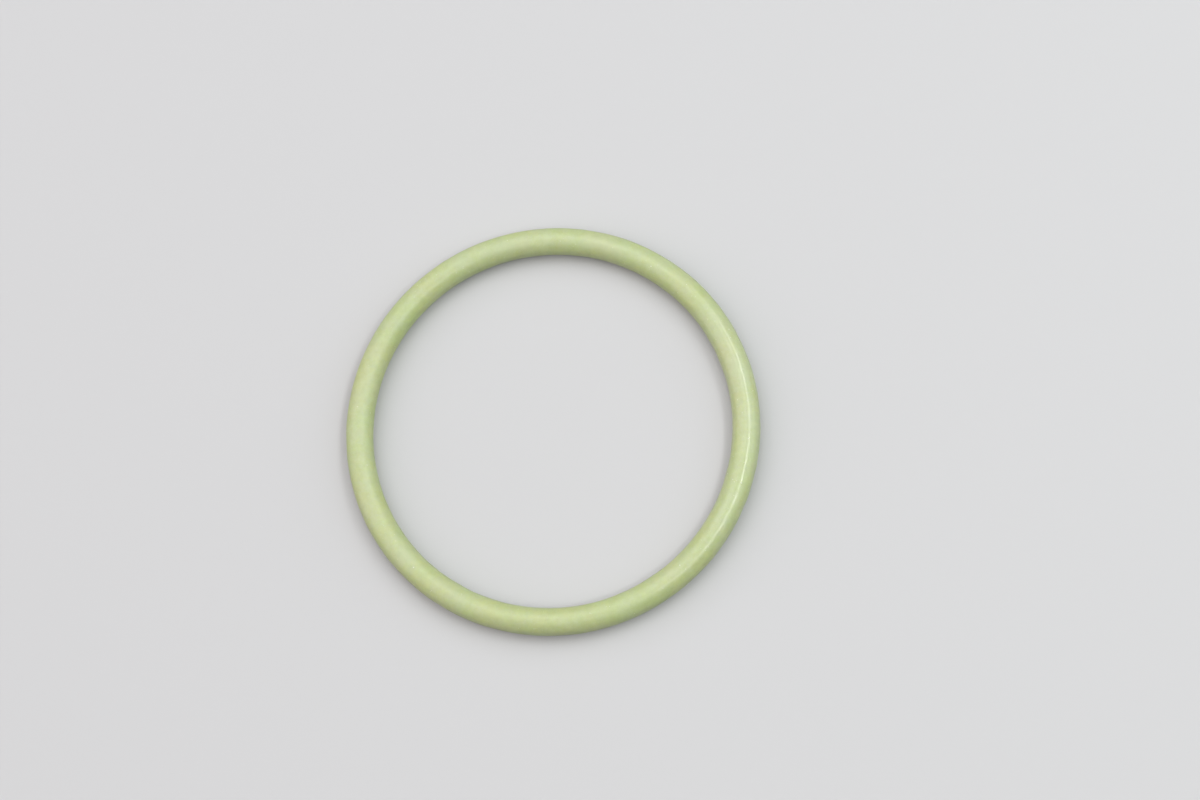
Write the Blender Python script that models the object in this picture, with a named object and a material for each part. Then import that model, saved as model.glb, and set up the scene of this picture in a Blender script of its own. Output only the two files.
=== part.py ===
"""O-ring: one moulded rubber ring of round section, lying on its side face.

Units are metres and +Z is up. The ring's axis is Z, and z = 0 is the mid-plane, where the two
halves of its mould met, so the origin is the centre of the bore. Everything is one solid of
revolution: a round section that carries the trimmed parting line at the bore and at the rim.
"""

import math

import bmesh
import bpy
from mathutils import Vector

# Driving sizes of the moulded ring
BORE_DIAMETER = 0.04722
CORD_DIAMETER = 0.00353

# Parting line: the low ridge that trimming leaves at the bore and at the rim
PARTING_HEIGHT = 0.00005
PARTING_ROOT_WIDTH = 0.00024
PARTING_CREST_WIDTH = 0.00010

# Facets: an odd number over each half of the section leaves a level one at its top and bottom
FACETS_OVER_HALF_SECTION = 15
FACETS_ROUND_RING = 128

# Rubber: a light yellow-green, satin from the mould
RUBBER_COLOUR = (0.50, 0.59, 0.30, 1.0)
RUBBER_ROUGHNESS = 0.45
RUBBER_METALLIC = 0.0
SHARP_EDGE_ANGLE = math.radians(35)

# Sizes that follow
CORD_RADIUS = CORD_DIAMETER / 2
MEAN_RADIUS = BORE_DIAMETER / 2 + CORD_RADIUS


def section_point(distance, angle):
    """A point of the section, by its distance from the cord's centre and its angle above the rim."""
    return Vector((MEAN_RADIUS + distance * math.cos(angle), 0, distance * math.sin(angle)))


def half_section(turn):
    """The round of one half of the section, from beside one parting line to beside the other.

    The facets touch the true circle at their middles, so the cord is its full size across them.
    turn is 0 for the upper half and pi for the lower one.
    """
    root_angle = math.asin(PARTING_ROOT_WIDTH / 2 / CORD_RADIUS)
    facet_angle = (math.pi - 2 * root_angle) / FACETS_OVER_HALF_SECTION
    corner_distance = CORD_RADIUS / math.cos(facet_angle / 2)
    corners = range(FACETS_OVER_HALF_SECTION + 1)
    return [section_point(corner_distance, turn + root_angle + i * facet_angle) for i in corners]


def parting_crest(turn):
    """The two corners of the ridge's crest, in the same order round the section as the halves."""
    crest_distance = CORD_RADIUS + PARTING_HEIGHT
    crest_angle = math.asin(PARTING_CREST_WIDTH / 2 / crest_distance)
    return [section_point(crest_distance, turn + side * crest_angle) for side in (-1, 1)]


def section_outline():
    """The whole section, anticlockwise: rim ridge, upper half, bore ridge, lower half."""
    return parting_crest(0) + half_section(0) + parting_crest(math.pi) + half_section(math.pi)


def revolve(outline):
    """A mesh of the closed outline turned once round Z."""
    ring = bmesh.new()
    corners = [ring.verts.new(point) for point in outline]
    sides = [ring.edges.new((corners[i - 1], corners[i])) for i in range(len(corners))]
    bmesh.ops.spin(
        ring,
        geom=corners + sides,
        cent=(0, 0, 0),
        axis=(0, 0, 1),
        angle=math.tau,
        steps=FACETS_ROUND_RING,
        use_merge=True,
    )
    bmesh.ops.recalc_face_normals(ring, faces=ring.faces[:])
    mesh = bpy.data.meshes.new("o_ring")
    ring.to_mesh(mesh)
    ring.free()
    mesh.shade_smooth()
    mesh.set_sharp_from_angle(angle=SHARP_EDGE_ANGLE)
    return mesh


def moulded_rubber():
    """The ring's one material."""
    material = bpy.data.materials.new("moulded_rubber")
    material.use_nodes = True
    shader = material.node_tree.nodes["Principled BSDF"]
    shader.inputs["Base Color"].default_value = RUBBER_COLOUR
    shader.inputs["Roughness"].default_value = RUBBER_ROUGHNESS
    shader.inputs["Metallic"].default_value = RUBBER_METALLIC
    material.diffuse_color = RUBBER_COLOUR
    return material


def clear_scene():
    """Removes whatever the file opened with."""
    for leftover in list(bpy.data.objects):
        bpy.data.objects.remove(leftover, do_unlink=True)


def main():
    clear_scene()
    mesh = revolve(section_outline())
    mesh.materials.append(moulded_rubber())
    bpy.context.scene.collection.objects.link(bpy.data.objects.new("o_ring", mesh))


main()
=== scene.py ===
"""Looks of the o-ring: its moulded cord and parting line, satin rubber, dust and the studio.

Units are metres and +Z is up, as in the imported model. The ring lies flat round the origin with its
axis along Z. A place on it is given by two angles: the turn round the ring, anticlockwise from +X,
and the lean round the cord, from 0 at the rim over 90 degrees at the top to 180 at the bore.
"""

import logging
import math
from dataclasses import dataclass, field
from enum import Enum
from typing import Any

import bpy
from mathutils import Matrix, Vector


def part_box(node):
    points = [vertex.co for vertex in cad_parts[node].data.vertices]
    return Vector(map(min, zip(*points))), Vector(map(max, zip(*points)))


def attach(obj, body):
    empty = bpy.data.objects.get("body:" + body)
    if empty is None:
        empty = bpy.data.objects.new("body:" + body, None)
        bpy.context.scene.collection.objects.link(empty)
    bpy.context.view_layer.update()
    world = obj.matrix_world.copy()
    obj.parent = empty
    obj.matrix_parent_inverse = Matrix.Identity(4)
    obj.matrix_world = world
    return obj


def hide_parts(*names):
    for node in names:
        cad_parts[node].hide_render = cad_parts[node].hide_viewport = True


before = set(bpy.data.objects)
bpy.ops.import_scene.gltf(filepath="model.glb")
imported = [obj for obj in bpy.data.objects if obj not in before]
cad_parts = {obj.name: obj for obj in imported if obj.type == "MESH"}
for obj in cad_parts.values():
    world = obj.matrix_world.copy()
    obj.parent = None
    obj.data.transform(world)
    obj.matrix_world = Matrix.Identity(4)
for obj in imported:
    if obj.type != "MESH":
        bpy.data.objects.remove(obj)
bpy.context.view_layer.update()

MILLIMETRE = 0.001
MICROMETRE = 0.000001

Colour = tuple[float, float, float, float]
Span = tuple[float, float]

WHITE: Colour = (1.0, 1.0, 1.0, 1.0)


class Arithmetic(Enum):
    """The sums that a socket can take part in, named as Math and Vector Math name them."""

    ADD = "ADD"
    SUBTRACT = "SUBTRACT"
    MULTIPLY = "MULTIPLY"
    DIVIDE = "DIVIDE"


class InputKind(Enum):
    """The kinds of named input that a growth tree takes."""

    LENGTH = "NodeSocketFloat"
    COUNT = "NodeSocketInt"
    MATERIAL = "NodeSocketMaterial"


class LampShape(Enum):
    """The shapes that a studio lamp comes in."""

    STRIP = "RECTANGLE"
    ROUND = "DISK"


class Link:
    """An output socket that can be written into sums with numbers, vectors and other sockets."""

    def __init__(self, bench: "NodeBench", socket: bpy.types.NodeSocket) -> None:
        """Wraps one output socket of a node on the bench."""
        self.bench = bench
        self.socket = socket

    def other(self, name: str) -> "Link":
        """Another output of the same node, by its name."""
        return Link(self.bench, self.bench.find(self.socket.node.outputs, name))

    def holds_vector(self) -> bool:
        """Whether the socket carries three numbers and not one."""
        return self.socket.type in ("VECTOR", "RGBA")

    def combine(self, step: Arithmetic, value: Any, reflected: bool = False) -> "Link":
        """Adds the node that works out one sum.

        Args:
            step: The sum to work out.
            value: The other operand: a number, a vector or a Link.
            reflected: True where the other operand stands on the left.

        Returns:
            The sum's result.
        """
        linked = isinstance(value, Link)
        other_is_vector = value.holds_vector() if linked else isinstance(value, (tuple, Vector))
        if not self.holds_vector() and not other_is_vector:
            pair = (value, self) if reflected else (self, value)
            return self.bench.node("ShaderNodeMath", {"operation": step.value}, dict(enumerate(pair)))
        if step is Arithmetic.MULTIPLY and not (self.holds_vector() and other_is_vector):
            vector, number = (self, value) if self.holds_vector() else (value, self)
            scaled = {"Vector": vector, "Scale": number}
            return self.bench.node("ShaderNodeVectorMath", {"operation": "SCALE"}, scaled)
        if isinstance(value, (int, float)):
            value = (value, value, value)
        pair = (value, self) if reflected else (self, value)
        return self.bench.node("ShaderNodeVectorMath", {"operation": step.value}, dict(enumerate(pair)))

    def __add__(self, value: Any) -> "Link":
        """The socket plus a value."""
        return self.combine(Arithmetic.ADD, value)

    def __radd__(self, value: Any) -> "Link":
        """A value plus the socket."""
        return self.combine(Arithmetic.ADD, value, reflected=True)

    def __sub__(self, value: Any) -> "Link":
        """The socket less a value."""
        return self.combine(Arithmetic.SUBTRACT, value)

    def __rsub__(self, value: Any) -> "Link":
        """A value less the socket."""
        return self.combine(Arithmetic.SUBTRACT, value, reflected=True)

    def __mul__(self, value: Any) -> "Link":
        """The socket times a value."""
        return self.combine(Arithmetic.MULTIPLY, value)

    def __rmul__(self, value: Any) -> "Link":
        """A value times the socket."""
        return self.combine(Arithmetic.MULTIPLY, value, reflected=True)

    def __truediv__(self, value: Any) -> "Link":
        """The socket over a value."""
        return self.combine(Arithmetic.DIVIDE, value)

    def __rtruediv__(self, value: Any) -> "Link":
        """A value over the socket."""
        return self.combine(Arithmetic.DIVIDE, value, reflected=True)


class NodeBench:
    """Puts nodes into one tree and joins them up, for shaders and for Geometry Nodes alike."""

    def __init__(self, tree: bpy.types.NodeTree) -> None:
        """Starts on an emptied tree."""
        self.tree = tree
        self.tree.nodes.clear()

    @staticmethod
    def find(sockets: Any, key: str | int) -> bpy.types.NodeSocket:
        """The socket in use that a name, an identifier or a place in the row means."""
        in_use = [socket for socket in sockets if socket.enabled]
        if isinstance(key, int):
            return in_use[key]
        exact = [socket for socket in in_use if socket.identifier == key]
        named = [socket for socket in in_use if socket.name == key]
        return (exact + named)[0]

    def node(
        self, kind: str, settings: dict[str, Any] | None = None, inputs: dict[str | int, Any] | None = None,
    ) -> Link:
        """Adds one node.

        Args:
            kind: The node's type.
            settings: Its properties, set before its sockets.
            inputs: A value or a Link for each socket, by name, identifier or place in the row.

        Returns:
            The node's first output.
        """
        made = self.tree.nodes.new(kind)
        for name, value in (settings or {}).items():
            setattr(made, name, value)
        for key, value in (inputs or {}).items():
            socket = self.find(made.inputs, key)
            if isinstance(value, Link):
                self.tree.links.new(value.socket, socket)
            else:
                socket.default_value = value
        return Link(self, self.find(made.outputs, 0)) if len(made.outputs) else Link(self, None)

    def axes(self, vector: Link) -> tuple[Link, Link, Link]:
        """The three numbers of a vector."""
        split = self.node("ShaderNodeSeparateXYZ", inputs={"Vector": vector})
        return split, split.other("Y"), split.other("Z")

    def vector(self, x: Any, y: Any, z: Any) -> Link:
        """A vector of three numbers."""
        return self.node("ShaderNodeCombineXYZ", inputs={"X": x, "Y": y, "Z": z})

    def maths(self, operation: str, *values: Any) -> Link:
        """A sum of numbers that has no operator of its own, such as a sine or a square root."""
        return self.node("ShaderNodeMath", {"operation": operation}, dict(enumerate(values)))

    def vector_maths(self, operation: str, *values: Any) -> Link:
        """A sum of vectors that has no operator of its own, such as a cross product."""
        return self.node("ShaderNodeVectorMath", {"operation": operation}, dict(enumerate(values)))

    def smooth_step(self, value: Any, low: Any, high: Any) -> Link:
        """Rises smoothly from 0 where the value is low to 1 where it is high."""
        limits = {"Value": value, "From Min": low, "From Max": high}
        return self.node("ShaderNodeMapRange", {"interpolation_type": "SMOOTHSTEP"}, limits)

    def noise(
        self, place: Link, frequency: float, detail: float = 2.0, w: Any = None, fineness: float = 0.5,
    ) -> Link:
        """Cloudy noise about 0.5.

        Args:
            place: Where the noise is read.
            frequency: Clouds in one unit of the place.
            detail: How many finer layers it has.
            w: The fourth coordinate, where the noise has one.
            fineness: How strong each finer layer is beside the last.

        Returns:
            The noise as one number.
        """
        inputs = {"Vector": place, "Scale": frequency, "Detail": detail, "Roughness": fineness}
        if w is None:
            return self.node("ShaderNodeTexNoise", {"noise_dimensions": "3D"}, inputs)
        return self.node("ShaderNodeTexNoise", {"noise_dimensions": "4D"}, inputs | {"W": w})

    def blend_colours(self, share: Any, first: Any, second: Any) -> Link:
        """Goes from the first colour to the second as the share goes from 0 to 1."""
        inputs = {"Factor_Float": share, "A_Color": first, "B_Color": second}
        return self.node("ShaderNodeMix", {"data_type": "RGBA"}, inputs)

    def in_sight(self) -> Link:
        """1 for what the camera sees, straight or in gloss and glass, and 0 for what only lights."""
        rays = self.node("ShaderNodeLightPath")
        mirrored = self.maths("MAXIMUM", rays.other("Is Glossy Ray"), rays.other("Is Transmission Ray"))
        return self.maths("MAXIMUM", rays, mirrored)


class GrowthTree(NodeBench):
    """A Geometry Nodes tree with named inputs, which grows one plain mesh object."""

    def __init__(self, name: str) -> None:
        """Starts an empty tree."""
        super().__init__(bpy.data.node_groups.new(name, "GeometryNodeTree"))
        self.tree.interface.new_socket(name="Geometry", in_out="INPUT", socket_type="NodeSocketGeometry")
        self.tree.interface.new_socket(name="Geometry", in_out="OUTPUT", socket_type="NodeSocketGeometry")
        self.entry = self.node("NodeGroupInput")
        self.values: dict[str, Any] = {}

    def given(self, name: str, kind: InputKind, value: Any) -> Link:
        """Adds a named input.

        Args:
            name: What the input is called in the modifier.
            kind: What it holds.
            value: What this object's modifier is given.

        Returns:
            The input, as the tree reads it.
        """
        item = self.tree.interface.new_socket(name=name, in_out="INPUT", socket_type=kind.value)
        self.values[item.identifier] = value
        return self.entry.other(item.identifier)

    def grow(
        self, name: str, geometry: Link, material: Link, seed_mesh: bpy.types.Mesh | None = None,
    ) -> bpy.types.Object:
        """Closes the tree, runs it once and keeps its result as a plain mesh.

        Args:
            name: The new object's name.
            geometry: What the tree has made.
            material: The input that holds the finish.
            seed_mesh: The points that the tree starts from, if it needs any.

        Returns:
            The new object, without its modifier.
        """
        whole = self.node("GeometryNodeRealizeInstances", inputs={"Geometry": geometry})
        dressed = self.node("GeometryNodeSetMaterial", inputs={"Geometry": whole, "Material": material})
        self.node("NodeGroupOutput", inputs={"Geometry": dressed})
        piece = bpy.data.objects.new(name, seed_mesh or bpy.data.meshes.new(name + "_seed"))
        bpy.context.scene.collection.objects.link(piece)
        modifier = piece.modifiers.new("growth", "NODES")
        modifier.node_group = self.tree
        for identifier, value in self.values.items():
            modifier[identifier] = value
        graph = bpy.context.evaluated_depsgraph_get()
        grown = bpy.data.meshes.new_from_object(
            piece.evaluated_get(graph), preserve_all_data_layers=True, depsgraph=graph,
        )
        piece.modifiers.clear()
        piece.data = grown
        grown.name = name
        return piece


class Finish:
    """What every material has: a bench, the place on the surface in millimetres, and its closing."""

    def start(self, name: str) -> tuple[bpy.types.Material, NodeBench, Link]:
        """Opens a material.

        Args:
            name: The material's name.

        Returns:
            The material, its bench, and the place on the surface in millimetres.
        """
        material = bpy.data.materials.new(name)
        material.use_nodes = True
        bench = NodeBench(material.node_tree)
        place = bench.node("ShaderNodeTexCoord").other("Object") * (1 / MILLIMETRE)
        return material, bench, place

    def close(self, bench: NodeBench, surface: Link) -> None:
        """Joins the surface to the material's output."""
        bench.node("ShaderNodeOutputMaterial", inputs={"Surface": surface})


@dataclass(frozen=True)
class TorusPlace:
    """The ring's two radii, and the sums that find a point's turn and lean from them."""

    mean_radius: float
    cord_radius: float

    def directions(self, bench: NodeBench, place: Link) -> tuple[Link, Link, Link, Link]:
        """Where a point of the cord's surface lies, without an angle's jump.

        Args:
            bench: The tree that works it out.
            place: The point, in metres.

        Returns:
            The cosine and sine of the turn, and the cosine and sine of the lean.
        """
        x, y, z = bench.axes(place)
        reach = bench.maths("SQRT", x * x + y * y)
        return x / reach, y / reach, (reach - self.mean_radius) / self.cord_radius, z / self.cord_radius


@dataclass(frozen=True)
class SatinRubber(Finish):
    """Light yellow-green moulded rubber: satin, clouded and grained, and glossier where it is wiped.

    A thin pale film lies on it in patches. Along the top it is paler still, partly settled film and partly
    a painted highlight that whitens the crown. The sizes of clouds, film, lightness, grain and ripple and
    the height of the trimmed line are in millimetres, as places in a material are. The other lengths are
    in metres. An edge is where in the noise a patch or a mark begins, and where it is full. The wiped
    stretch lies round one turn of the ring, and the worn band, which has the streaks and glints, round
    one lean of the cord.
    """

    torus: TorusPlace
    yellower: Colour = (0.529, 0.588, 0.233, 1.0)
    greener: Colour = (0.495, 0.593, 0.233, 1.0)
    # The pale colour of the film and the trimmed line, also used for the painted highlight along the top.
    bloom_and_highlight: Colour = (0.585, 0.635, 0.52, 1.0)
    roughness: float = 0.42
    polished_roughness: float = 0.36
    specular_level: float = 0.85
    coat_index: float = 1.65
    coat_roughness: float = 0.15
    cloud_size: float = 9.0
    film_size: float = 5.0
    film_offset: float = 50.0
    film_share: float = 0.21
    film_roughness: float = 0.05
    patch_detail: float = 5.0
    patch_fineness: float = 0.9
    patch_edge: Span = (0.38, 0.62)
    lightness_size: float = 0.9
    lightness_change: float = 0.27
    grain_size: float = 0.09
    grain_height: float = 1.1 * MICROMETRE
    ripple_size: float = 0.55
    ripple_height: float = 9.0 * MICROMETRE
    streak_length: float = 1.1 * MILLIMETRE
    streak_width: float = 0.22 * MILLIMETRE
    streak_edge: Span = (0.42, 0.58)
    glint_length: float = 0.75 * MILLIMETRE
    glint_width: float = 0.34 * MILLIMETRE
    glint_edge: Span = (0.56, 0.62)
    handled_facing: Span = (-0.5, 0.2)
    wiped_turn: float = math.radians(-3)
    wiped_full: float = math.radians(22)
    wiped_end: float = math.radians(42)
    worn_lean: float = math.radians(74)
    worn_full: float = math.radians(13)
    worn_end: float = math.radians(34)
    streak_contrast: float = 0.50
    sheen_least: float = 0.11
    sheen_handled: float = 0.058
    sheen_wiped: float = 0.38
    glint_handled: float = 0.26
    glint_wiped: float = 0.07
    # Painted highlight: how pale the top of the cord is made, partly settled film and partly a whitened
    # crown.
    settled_film_and_highlight: float = 0.10
    settled_and_highlight_above: float = 0.55
    trim_height: float = 0.13
    trim_core: float = 0.7
    trim_paleness: float = 0.25
    trim_roughness: float = 0.10

    def patches(self, bench: NodeBench, place: Link, size: float) -> Link:
        """Soft patches of one size: 1 inside them and 0 between them."""
        clouds = bench.noise(place, 1 / size, self.patch_detail, fineness=self.patch_fineness)
        return bench.smooth_step(clouds, *self.patch_edge)

    def clouded_colour(self, bench: NodeBench, place: Link) -> Link:
        """The rubber's colour: clouds of two shades, and small changes of lightness."""
        cloud = self.patches(bench, place, self.cloud_size)
        lightness = bench.noise(place, 1 / self.lightness_size, detail=4.0)
        grain = bench.noise(place, 1 / self.grain_size, detail=1.0)
        change = (lightness - 0.5) * self.lightness_change + (grain - 0.5) * (self.lightness_change / 2)
        return bench.blend_colours(cloud, self.yellower, self.greener) * (1 + change)

    def marks(self, bench: NodeBench, length: float, width: float, edge: Span) -> Link:
        """Marks that run along the cord.

        Args:
            bench: The tree that works them out.
            length: The marks' length along the cord.
            width: Their width across it.
            edge: Where in the noise a mark begins, and where it is full.

        Returns:
            1 in a mark and 0 between them.
        """
        metres = bench.node("ShaderNodeTexCoord").other("Object")
        along_x, along_y, across_x, across_y = self.torus.directions(bench, metres)
        along = self.torus.mean_radius / length
        across = self.torus.cord_radius / width
        spot = bench.vector(along_x * along, along_y * along, across_x * across)
        noise = bench.noise(spot, 1.0, detail=1.0, w=across_y * across)
        return bench.smooth_step(noise, *edge)

    def polish(self, bench: NodeBench, place: Link) -> Link:
        """How far handling has polished the rubber.

        It is most polished on one stretch, and its streaks and glints keep to one worn band of the cord.

        Args:
            bench: The tree that works it out.
            place: The point, in millimetres.

        Returns:
            The polish as one number, the weight of the coat.
        """
        x, y, across_x, across_y = self.torus.directions(bench, place * MILLIMETRE)
        facing = x * math.cos(self.wiped_turn) + y * math.sin(self.wiped_turn)
        handled = bench.smooth_step(facing, *self.handled_facing)
        wiped = bench.smooth_step(facing, math.cos(self.wiped_end), math.cos(self.wiped_full))
        leaning = across_x * math.cos(self.worn_lean) + across_y * math.sin(self.worn_lean)
        worn = bench.smooth_step(leaning, math.cos(self.worn_end), math.cos(self.worn_full))
        streaks = self.marks(bench, self.streak_length, self.streak_width, self.streak_edge)
        glints = self.marks(bench, self.glint_length, self.glint_width, self.glint_edge)
        sheen = self.sheen_least + handled * self.sheen_handled + wiped * self.sheen_wiped
        glitter = handled * self.glint_handled + wiped * self.glint_wiped
        streaked = 1 + (streaks - 0.5) * self.streak_contrast * worn
        return sheen * streaked + glitter * glints * worn

    def build(self) -> bpy.types.Material:
        """The finished material."""
        material, bench, place = self.start("satin_rubber")
        height = bench.axes(place)[2]
        top = self.torus.cord_radius / MILLIMETRE
        from_line = bench.maths("ABSOLUTE", height)
        untrimmed = bench.smooth_step(from_line, self.trim_height * self.trim_core, self.trim_height)
        trimmed = 1 - untrimmed
        polish = self.polish(bench, place) * untrimmed
        film = self.patches(bench, place + (0.0, 0.0, self.film_offset), self.film_size)
        # Painted highlight: paler towards the top of the cord, partly settled film and partly a whitening
        # that stands in for the crown's highlight.
        top_film_and_highlight = bench.smooth_step(height, top * self.settled_and_highlight_above, top) * self.settled_film_and_highlight
        paleness_and_highlight = top_film_and_highlight + film * self.film_share + trimmed * self.trim_paleness
        colour = bench.blend_colours(paleness_and_highlight, self.clouded_colour(bench, place), self.bloom_and_highlight)
        matt = self.roughness + film * self.film_roughness + trimmed * self.trim_roughness
        roughness = matt + (self.polished_roughness - self.roughness) * polish
        grain = bench.noise(place, 1 / self.grain_size, detail=2.0)
        ripple = bench.noise(place, 1 / self.ripple_size, detail=2.0)
        relief = grain * (self.grain_height / self.ripple_height) + ripple
        bump = bench.node("ShaderNodeBump", inputs={"Distance": self.ripple_height, "Height": relief})
        surface = bench.node("ShaderNodeBsdfPrincipled", inputs={
            "Base Color": colour,
            "Roughness": roughness,
            "Specular IOR Level": self.specular_level,
            "Coat Weight": polish,
            "Coat IOR": self.coat_index,
            "Coat Roughness": self.coat_roughness,
            "Normal": bump,
        })
        self.close(bench, surface)
        return material


@dataclass(frozen=True)
class PaleDust(Finish):
    """Dry white dust, matt and uneven."""

    pale: Colour = (0.86, 0.87, 0.78, 1.0)
    dark: Colour = (0.62, 0.66, 0.50, 1.0)
    roughness: float = 0.7
    grain_size: float = 0.05
    grain_edge: Span = (0.3, 0.6)

    def build(self) -> bpy.types.Material:
        """The finished material."""
        material, bench, place = self.start("pale_dust")
        grain = bench.noise(place, 1 / self.grain_size, detail=3.0)
        patch = bench.smooth_step(grain, *self.grain_edge)
        colour = bench.blend_colours(patch, self.dark, self.pale)
        surface = bench.node(
            "ShaderNodeBsdfPrincipled", inputs={"Base Color": colour, "Roughness": self.roughness}
        )
        self.close(bench, surface)
        return material


@dataclass(frozen=True)
class PaleFloor(Finish):
    """The plain pale surface under the ring.

    Matt surfaces get less light from it than the camera sees. Far off, where the lamps don't reach,
    it is shown as pale as the wall behind it.
    """

    wall_level: float
    shown: Colour = (0.65, 0.65, 0.65, 1.0)
    returned: Colour = (0.13, 0.13, 0.13, 1.0)
    roughness: float = 0.75
    near: float = 0.14 / MILLIMETRE
    far: float = 0.60 / MILLIMETRE

    def build(self) -> bpy.types.Material:
        """The finished material."""
        material, bench, place = self.start("pale_floor")
        seen = bench.in_sight()
        colour = bench.blend_colours(seen, self.returned, self.shown)
        matt = {"Base Color": colour, "Roughness": self.roughness}
        lit = bench.node("ShaderNodeBsdfPrincipled", inputs=matt)
        even = {"Color": WHITE, "Strength": self.wall_level}
        plain = bench.node("ShaderNodeEmission", inputs=even)
        distance = bench.vector_maths("LENGTH", place).other("Value")
        share = bench.smooth_step(distance, self.near, self.far) * seen
        surface = bench.node("ShaderNodeMixShader", inputs={0: share, 1: lit, 2: plain})
        self.close(bench, surface)
        return material


@dataclass
class MouldedRing:
    """The ring itself: a round cord closed on itself, with the trimmed parting line at bore and rim."""

    node: str = "o_ring"
    ridge_height: float = 0.05 * MILLIMETRE
    ridge_root: float = 0.24 * MILLIMETRE
    ridge_crest: float = 0.10 * MILLIMETRE
    ridge_least: float = 0.35
    ridge_waver: float = 9.0
    waver_edge: Span = (0.30, 0.62)
    ripple_height: float = 60.0 * MICROMETRE
    ripple_size: float = 3.5 * MILLIMETRE
    peel_height: float = 40.0 * MICROMETRE
    peel_size: float = 0.9 * MILLIMETRE
    steps_round_ring: int = 640
    steps_round_cord: int = 144
    crowding: float = 0.62
    weld: float = 1.0 * MICROMETRE
    finish_strips: int = 4
    strip_margin: float = 0.02
    torus: TorusPlace = field(init=False)

    def __post_init__(self) -> None:
        """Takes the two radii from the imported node's box."""
        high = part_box(self.node)[1]
        cord_radius = high.z
        self.torus = TorusPlace(high.x - self.ridge_height - cord_radius, cord_radius)

    def section_angle(self, tree: GrowthTree, share: Link) -> Link:
        """The lean at a share of the way round the cord, with its steps crowded at the parting line."""
        even = share * math.tau
        return even - tree.maths("SINE", even * 2) * (self.crowding / 2)

    def ridge(self, tree: GrowthTree, turn: Link, lean: Link, sizes: dict[str, Link]) -> Link:
        """How far the parting line stands out of the round cord.

        Args:
            tree: The tree that works it out.
            turn: The angle round the ring.
            lean: The angle round the cord.
            sizes: The tree's inputs.

        Returns:
            The height above the round section.
        """
        from_middle = tree.maths("ABSOLUTE", tree.maths("SINE", lean) * sizes["Cord radius"])
        crest, root = sizes["Ridge crest width"] / 2, sizes["Ridge root width"] / 2
        profile = 1 - tree.smooth_step(from_middle, crest, root)
        side = tree.maths("SIGN", tree.maths("COSINE", lean))
        spot = tree.vector(tree.maths("COSINE", turn), tree.maths("SINE", turn), side)
        waver = tree.smooth_step(tree.noise(spot, self.ridge_waver, detail=4.0), *self.waver_edge)
        height = self.ridge_least + waver * (1 - self.ridge_least)
        return profile * height * sizes["Ridge height"]

    def lay_out_finish(self, tree: GrowthTree, mesh: Link, along: Link, across: Link) -> Link:
        """Stores the map that the finish is baked on: the cord cut into equal strips, stacked.

        Args:
            tree: The tree that stores it.
            mesh: The surface, still flat.
            along: The share of the way round the ring.
            across: The share of the way round the cord.

        Returns:
            The surface with its map.
        """
        on_faces = {"data_type": "FLOAT", "domain": "FACE"}
        middle = tree.node("GeometryNodeFieldOnDomain", on_faces, {"Value": along})
        strip = tree.maths("FLOOR", middle * self.finish_strips)
        inner = 1 - 2 * self.strip_margin
        u = (along * self.finish_strips - strip) * inner + self.strip_margin
        v = (strip + across * inner + self.strip_margin) / self.finish_strips
        as_map = {"data_type": "FLOAT2", "domain": "CORNER"}
        stored = {"Geometry": mesh, "Name": "OFBake", "Value": tree.vector(u, v, 0.0)}
        return tree.node("GeometryNodeStoreNamedAttribute", as_map, stored)

    def build(self, rubber: bpy.types.Material) -> bpy.types.Object:
        """Grows the ring.

        Args:
            rubber: Its finish.

        Returns:
            The ring's object.
        """
        tree = GrowthTree("moulded_ring")
        lengths = {
            "Mean radius": self.torus.mean_radius,
            "Cord radius": self.torus.cord_radius,
            "Ridge height": self.ridge_height,
            "Ridge root width": self.ridge_root,
            "Ridge crest width": self.ridge_crest,
            "Ripple height": self.ripple_height,
            "Peel height": self.peel_height,
        }
        sizes = {name: tree.given(name, InputKind.LENGTH, size) for name, size in lengths.items()}
        round_ring = tree.given("Steps round the ring", InputKind.COUNT, self.steps_round_ring)
        round_cord = tree.given("Steps round the cord", InputKind.COUNT, self.steps_round_cord)
        finish = tree.given("Rubber", InputKind.MATERIAL, rubber)

        grid = tree.node("GeometryNodeMeshGrid", inputs={
            "Size X": 1.0, "Size Y": 1.0, "Vertices X": round_ring + 1, "Vertices Y": round_cord + 1,
        })
        x, y, _ = tree.axes(tree.node("GeometryNodeInputPosition"))
        along, across = x + 0.5, y + 0.5
        sheet = self.lay_out_finish(tree, grid, along, across)
        turn = along * math.tau
        lean = self.section_angle(tree, across)
        outward = tree.vector(tree.maths("COSINE", turn), tree.maths("SINE", turn), 0.0)
        upward = tree.vector(0.0, 0.0, tree.maths("SINE", lean))
        away = outward * tree.maths("COSINE", lean) + upward
        spot = outward * sizes["Mean radius"] + away * sizes["Cord radius"]
        ripple = (tree.noise(spot, 1 / self.ripple_size, detail=2.0) - 0.5) * sizes["Ripple height"]
        peel = (tree.noise(spot, 1 / self.peel_size, detail=1.0) - 0.5) * sizes["Peel height"]
        reach = sizes["Cord radius"] + self.ridge(tree, turn, lean, sizes) + ripple + peel
        place = outward * sizes["Mean radius"] + away * reach
        curled = tree.node("GeometryNodeSetPosition", inputs={"Geometry": sheet, "Position": place})
        seam = {"Geometry": curled, "Distance": self.weld}
        closed = tree.node("GeometryNodeMergeByDistance", inputs=seam)
        rounded = {"Geometry": closed, "Shade Smooth": True}
        smooth = tree.node("GeometryNodeSetShadeSmooth", inputs=rounded)
        ring = tree.grow("moulded_ring", smooth, finish)
        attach(ring, "root")
        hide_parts(self.node)
        return ring


@dataclass(frozen=True)
class Speck:
    """One of the larger specks of dust: its turn and lean in degrees, and its width."""

    turn: float
    lean: float
    width: float = 0.16 * MILLIMETRE


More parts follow.
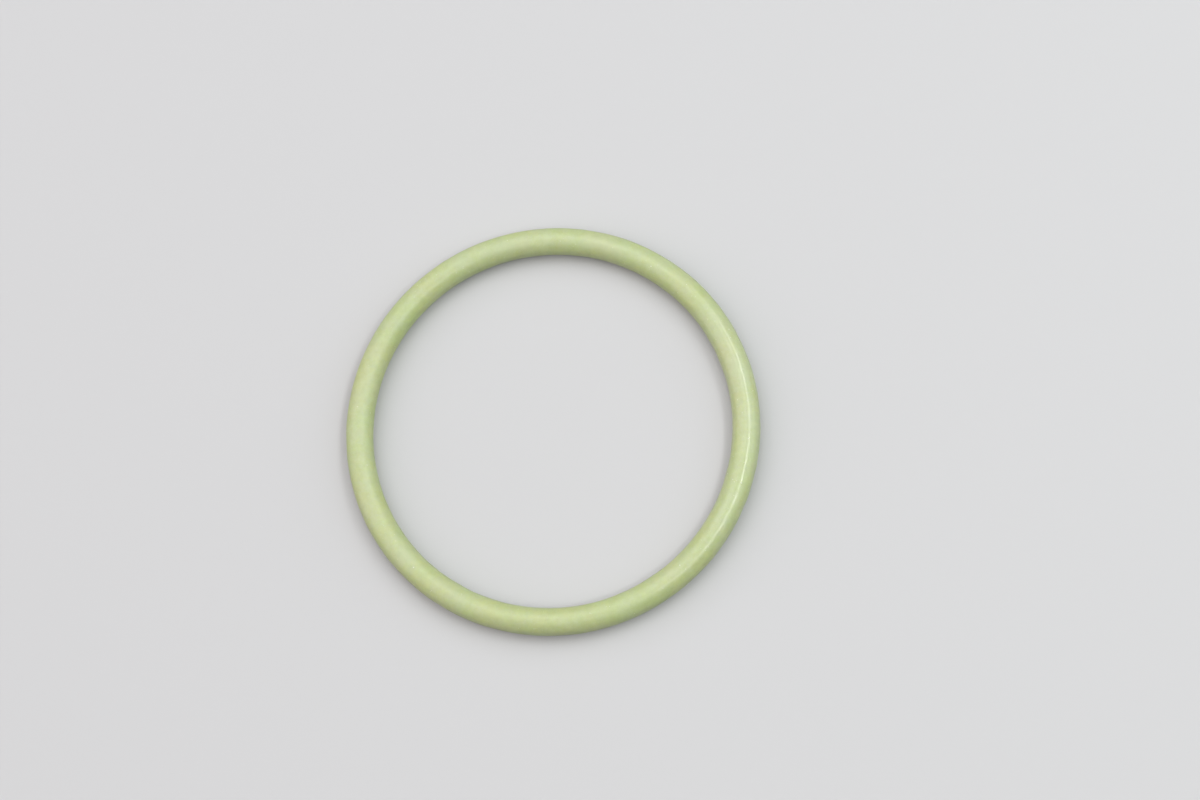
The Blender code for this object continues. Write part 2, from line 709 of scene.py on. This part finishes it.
@dataclass
class DustSpecks:
    """The dry specks on the upper side of the cord: a few that show, and a scatter of fine ones."""

    torus: TorusPlace
    larger: tuple[Speck, ...] = (
        Speck(226, 88, 0.20 * MILLIMETRE),
        Speck(312, 102, 0.19 * MILLIMETRE),
        Speck(58, 105, 0.18 * MILLIMETRE),
        Speck(282, 98),
        Speck(28, 54, 0.20 * MILLIMETRE),
        Speck(342, 70, 0.18 * MILLIMETRE),
        Speck(355, 77),
        Speck(46, 79, 0.15 * MILLIMETRE),
        Speck(103, 74, 0.13 * MILLIMETRE),
        Speck(9, 44, 0.13 * MILLIMETRE),
        Speck(173, 83, 0.14 * MILLIMETRE),
        Speck(191, 121, 0.15 * MILLIMETRE),
        # The last six sit in a row on the thin bright line of the polished stretch, as pale beads along it.
        Speck(333.8, 83, 0.12 * MILLIMETRE),
        Speck(337.8, 82, 0.13 * MILLIMETRE),
        Speck(348, 80, 0.11 * MILLIMETRE),
        Speck(15.6, 68, 0.13 * MILLIMETRE),
        Speck(20.6, 68, 0.11 * MILLIMETRE),
        Speck(25.6, 66, 0.13 * MILLIMETRE),
    )
    fine_count: int = 220
    fine_least: float = 0.03 * MILLIMETRE
    fine_most: float = 0.12 * MILLIMETRE
    least_lean: float = math.radians(20)
    most_lean: float = math.radians(160)
    flatness: float = 0.45
    narrowest: float = 0.55
    unevenness: float = 0.35
    lumps: float = 2.2
    facet_steps: int = 1
    seed: int = 7

    def points(self) -> bpy.types.Mesh:
        """The larger specks' places, with their widths, as bare points."""
        mesh = bpy.data.meshes.new("dust_places")
        mesh.vertices.add(len(self.larger))
        widths = mesh.attributes.new("width", "FLOAT", "POINT")
        for number, speck in enumerate(self.larger):
            turn, lean = math.radians(speck.turn), math.radians(speck.lean)
            reach = self.torus.mean_radius + self.torus.cord_radius * math.cos(lean)
            height = self.torus.cord_radius * math.sin(lean)
            mesh.vertices[number].co = (reach * math.cos(turn), reach * math.sin(turn), height)
            widths.data[number].value = speck.width
        return mesh

    def scatter(self, tree: GrowthTree, count: Link, seed: Link) -> Link:
        """The fine specks' points, strewn over the upper side.

        Args:
            tree: The tree that strews them.
            count: How many there are.
            seed: What fixes the scatter.

        Returns:
            Points with the attribute width.
        """
        turn = self.draw(tree, 0.0, math.tau, seed)
        lean = self.draw(tree, self.least_lean, self.most_lean, seed + 1)
        outward = tree.vector(tree.maths("COSINE", turn), tree.maths("SINE", turn), 0.0)
        reach = self.torus.mean_radius + tree.maths("COSINE", lean) * self.torus.cord_radius
        height = tree.maths("SINE", lean) * self.torus.cord_radius
        place = outward * reach + tree.vector(0.0, 0.0, height)
        points = tree.node("GeometryNodePoints", inputs={"Count": count, "Position": place})
        width = self.draw(tree, self.fine_least, self.fine_most, seed + 2)
        on_points = {"data_type": "FLOAT", "domain": "POINT"}
        stored = {"Geometry": points, "Name": "width", "Value": width}
        return tree.node("GeometryNodeStoreNamedAttribute", on_points, stored)

    @staticmethod
    def draw(tree: GrowthTree, least: float, most: float, seed: Link) -> Link:
        """A random number for each point."""
        limits = {"Min": least, "Max": most, "Seed": seed}
        return tree.node("FunctionNodeRandomValue", {"data_type": "FLOAT"}, limits)

    def build(self, dust: bpy.types.Material) -> bpy.types.Object:
        """Grows all the specks as one piece.

        Args:
            dust: Their finish.

        Returns:
            The specks' object.
        """
        tree = GrowthTree("dust_specks")
        count = tree.given("Fine specks", InputKind.COUNT, self.fine_count)
        seed = tree.given("Seed", InputKind.COUNT, self.seed)
        finish = tree.given("Dust", InputKind.MATERIAL, dust)

        larger = tree.node("GeometryNodeMeshToPoints", inputs={"Mesh": tree.entry})
        joined = tree.node("GeometryNodeJoinGeometry", inputs={"Geometry": larger})
        tree.tree.links.new(self.scatter(tree, count, seed).socket, joined.socket.node.inputs[0])
        place = tree.node("GeometryNodeInputPosition")
        outward = tree.vector_maths("NORMALIZE", place * (1.0, 1.0, 0.0))
        away = place - outward * self.torus.mean_radius
        spin = tree.vector(0.0, 0.0, self.draw(tree, 0.0, math.tau, seed + 3))
        yaw = tree.node("FunctionNodeEulerToRotation", inputs={"Euler": spin})
        standing = {"Rotation": yaw, "Vector": away}
        turned = tree.node("FunctionNodeAlignRotationToVector", {"axis": "Z"}, standing)
        width = tree.node("GeometryNodeInputNamedAttribute", {"data_type": "FLOAT"}, {"Name": "width"})
        stretch = tree.vector(1.0, self.draw(tree, self.narrowest, 1.0, seed + 4), self.flatness)
        ball = {"Radius": 0.5, "Subdivisions": self.facet_steps}
        crumb = tree.node("GeometryNodeMeshIcoSphere", inputs=ball)
        lumpy = {"Vector": place, "Scale": self.lumps}
        lumps = tree.node("ShaderNodeTexNoise", inputs=lumpy).other("Color")
        bent = (lumps - 0.5) * self.unevenness
        rough = tree.node("GeometryNodeSetPosition", inputs={"Geometry": crumb, "Offset": bent})
        strewn = tree.node("GeometryNodeInstanceOnPoints", inputs={
            "Points": joined, "Instance": rough, "Rotation": turned, "Scale": stretch * width,
        })
        specks = tree.grow("dust_specks", strewn, finish, self.points())
        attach(specks, "root")
        return specks


def aimed(place: Vector, aim: Vector, upward: Vector) -> Matrix:
    """The pose of a lamp or a camera that looks at a point.

    Args:
        place: Where it stands.
        aim: The point it looks at.
        upward: The direction that its own height runs in, as near as the view allows.

    Returns:
        Its world matrix.
    """
    back = (place - aim).normalized()
    right = upward.cross(back).normalized()
    return Matrix.Translation(place) @ Matrix((right, back.cross(right), back)).transposed().to_4x4()


def direction(turn: float, rise: float) -> Vector:
    """The unit vector at a turn round Z from +X and a rise above the floor, both in degrees."""
    yaw, pitch = math.radians(turn), math.radians(rise)
    across = math.cos(pitch)
    return Vector((math.cos(yaw) * across, math.sin(yaw) * across, math.sin(pitch)))


@dataclass(frozen=True)
class Lamp:
    """One soft lamp, aimed at the ring.

    A brightness of 1 is a face as bright as white paper in the picture. The tint is the share of
    red, green and blue in its light.
    """

    name: str
    turn: float
    rise: float
    width: float
    height: float
    brightness: float
    distance: float = 1.2
    shape: LampShape = LampShape.ROUND
    upward: tuple[float, float, float] = (0.0, 1.0, 0.0)
    tint: tuple[float, float, float] = (1.0, 1.0, 1.0)

    def power(self) -> float:
        """The watts that give the lamp's face its brightness."""
        area = self.width * self.height * (math.pi / 4 if self.shape is LampShape.ROUND else 1)
        return math.pi * area * self.brightness

    def build(self) -> bpy.types.Object:
        """Hangs the lamp."""
        light = bpy.data.lights.new(self.name, "AREA")
        light.shape = self.shape.value
        light.size, light.size_y = self.width, self.height
        light.energy = self.power()
        light.color = self.tint
        lamp = bpy.data.objects.new(self.name, light)
        place = direction(self.turn, self.rise) * self.distance
        lamp.matrix_world = aimed(place, Vector(), Vector(self.upward))
        bpy.context.scene.collection.objects.link(lamp)
        return lamp


@dataclass
class Studio:
    """The pale floor and far wall, the soft lamps and the even light that fills the room.

    The two strips draw the thin bright line on the polished stretch of the cord.
    """

    floor_height: float
    floor_radius: float = 6.0
    fill: float = 0.17
    wall_level: float = 0.70
    wall_base: float = 0.12
    wall_top: float = 0.36
    lamps: tuple[Lamp, ...] = (
        Lamp("overhead_softbox", turn=90, rise=88, width=1.68, height=1.68, brightness=0.71),
        Lamp(
            "left_softbox", turn=185, rise=35, width=1.38, height=1.38, brightness=1.11,
            tint=(1.08, 0.98, 0.99),
        ),
        Lamp(
            "right_softbox", turn=10, rise=35, width=0.64, height=0.64, brightness=1.07,
            distance=0.6, tint=(0.92, 1.02, 1.01),
        ),
        Lamp(
            "far_softbox", turn=114, rise=48, width=1.1, height=1.1, brightness=0.93,
            tint=(0.98, 0.995, 1.09),
        ),
        Lamp("ceiling_lamp", turn=88, rise=71, width=0.38, height=0.38, brightness=1.5),
        Lamp(
            "long_strip", turn=30.2, rise=57.0, width=0.18, height=1.2, brightness=4.2,
            distance=1.14, shape=LampShape.STRIP,
        ),
        Lamp(
            "short_strip", turn=-36.4, rise=64.4, width=0.18, height=0.38, brightness=4.0,
            distance=1.14, shape=LampShape.STRIP, upward=(-0.907, -0.336, 0.254),
        ),
    )

    def lay_floor(self) -> bpy.types.Object:
        """Lays the floor level with the ring's underside."""
        mesh = bpy.data.meshes.new("floor")
        half = self.floor_radius
        corners = [(-half, -half), (half, -half), (half, half), (-half, half)]
        mesh.from_pydata([(x, y, self.floor_height) for x, y in corners], [], [(0, 1, 2, 3)])
        mesh.materials.append(PaleFloor(self.wall_level).build())
        floor = bpy.data.objects.new("floor", mesh)
        bpy.context.scene.collection.objects.link(floor)
        return floor

    def fill_room(self) -> None:
        """Lights the room evenly. The far wall, where it shows, is as pale as the floor below it."""
        world = bpy.data.worlds.new("room")
        world.use_nodes = True
        bench = NodeBench(world.node_tree)
        rise = bench.axes(bench.node("ShaderNodeTexCoord"))[2]
        wall = bench.in_sight() * (1 - bench.smooth_step(rise, self.wall_base, self.wall_top))
        level = self.fill + wall * (self.wall_level - self.fill)
        backdrop = bench.node("ShaderNodeBackground", inputs={"Color": WHITE, "Strength": level})
        bench.node("ShaderNodeOutputWorld", inputs={"Surface": backdrop})
        bpy.context.scene.world = world

    def build(self) -> None:
        """Sets up the whole studio."""
        self.lay_floor()
        self.fill_room()
        for lamp in self.lamps:
            lamp.build()
        bpy.context.scene.view_settings.view_transform = "Standard"


@dataclass(frozen=True)
class Camera:
    """The camera, where it stood against the ring's own plane, with +Y up in the picture."""

    turn: float = -61.7
    rise: float = 75.94
    distance: float = 0.3521
    aim: tuple[float, float, float] = (0.00632, 0.00369, 0.0)
    lens: float = 81.0
    sensor_width: float = 36.0
    clip: tuple[float, float] = (0.01, 30.0)

    def build(self) -> bpy.types.Object:
        """Sets up the camera."""
        data = bpy.data.cameras.new("camera")
        data.lens = self.lens
        data.sensor_width = self.sensor_width
        data.sensor_fit = "HORIZONTAL"
        data.clip_start, data.clip_end = self.clip
        camera = bpy.data.objects.new("camera", data)
        place = direction(self.turn, self.rise) * self.distance
        camera.matrix_world = aimed(place, Vector(self.aim), Vector((0, 1, 0)))
        bpy.context.scene.collection.objects.link(camera)
        bpy.context.scene.camera = camera
        return camera


def main() -> None:
    """Builds the ring, its dust, the studio and the camera, and reports each piece."""
    logging.basicConfig(level=logging.INFO, format="%(message)s")
    shape = MouldedRing()
    ring = shape.build(SatinRubber(shape.torus).build())
    dust = DustSpecks(shape.torus).build(PaleDust().build())
    for piece in (ring, dust):
        logging.info("%s: %d faces", piece.name, len(piece.data.polygons))
    Studio(floor_height=-shape.torus.cord_radius).build()
    Camera().build()


if __name__ == "__main__":
    main()
